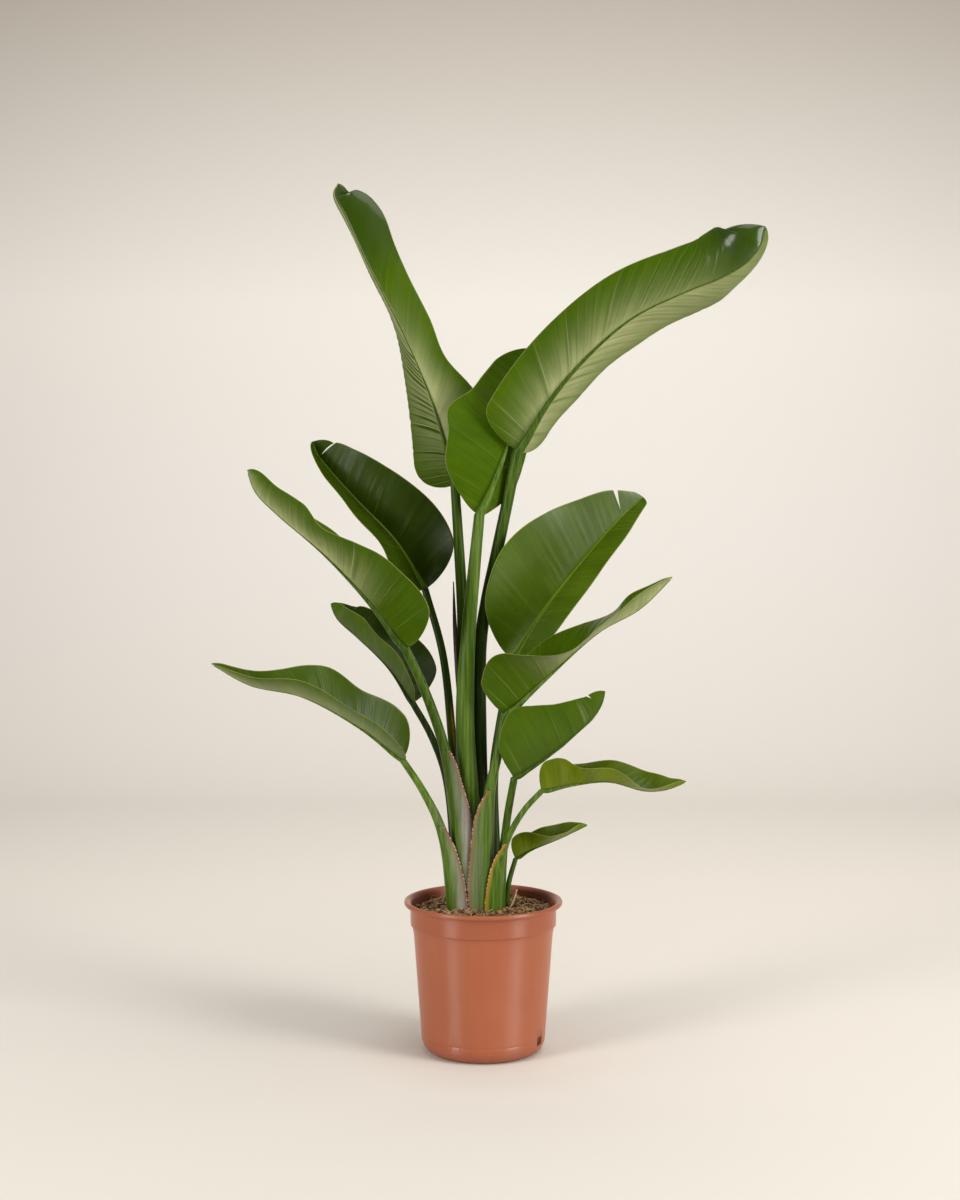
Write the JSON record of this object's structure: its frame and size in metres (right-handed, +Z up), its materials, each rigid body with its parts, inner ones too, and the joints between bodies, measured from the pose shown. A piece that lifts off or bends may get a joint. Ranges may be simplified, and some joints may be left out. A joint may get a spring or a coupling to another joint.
{
  "type": "potted bird of paradise plant",
  "caption": "Leafy bird of paradise house plant with a fan of long-stalked paddle leaves in a tapered round plastic nursery pot.",
  "frame": {"origin": "centre of the pot's underside, on the floor", "axes": "+Z up along the pot's axis, the fan of leaves spreads along X, and its front looks towards -Y"},
  "size_m": [0.8073, 0.2874, 1.3205],
  "materials": {
    "pot_plastic": "satin",
    "peat": "matt, crumbly",
    "leaf": "waxy",
    "leaf_dark": "waxy",
    "leaf_light": "waxy",
    "young_leaf": "waxy"
  },
  "bodies": {
    "root": {"pot": "pot_plastic", "soil": "peat", "rolled_young_leaf": "young_leaf", "leaf_front_centre": "leaf", "leaf_tall_right": "leaf", "leaf_tall_left": "leaf", "leaf_upper_left": "leaf_dark", "leaf_big_right": "leaf", "leaf_mid_left": "leaf", "leaf_lower_mid_left": "leaf_dark", "leaf_slender_right": "leaf", "leaf_cupped_right": "leaf_light", "leaf_low_left": "leaf", "leaf_wavy_right": "leaf_light", "leaf_smallest_right": "leaf_light"}
  },
  "joints": []
}
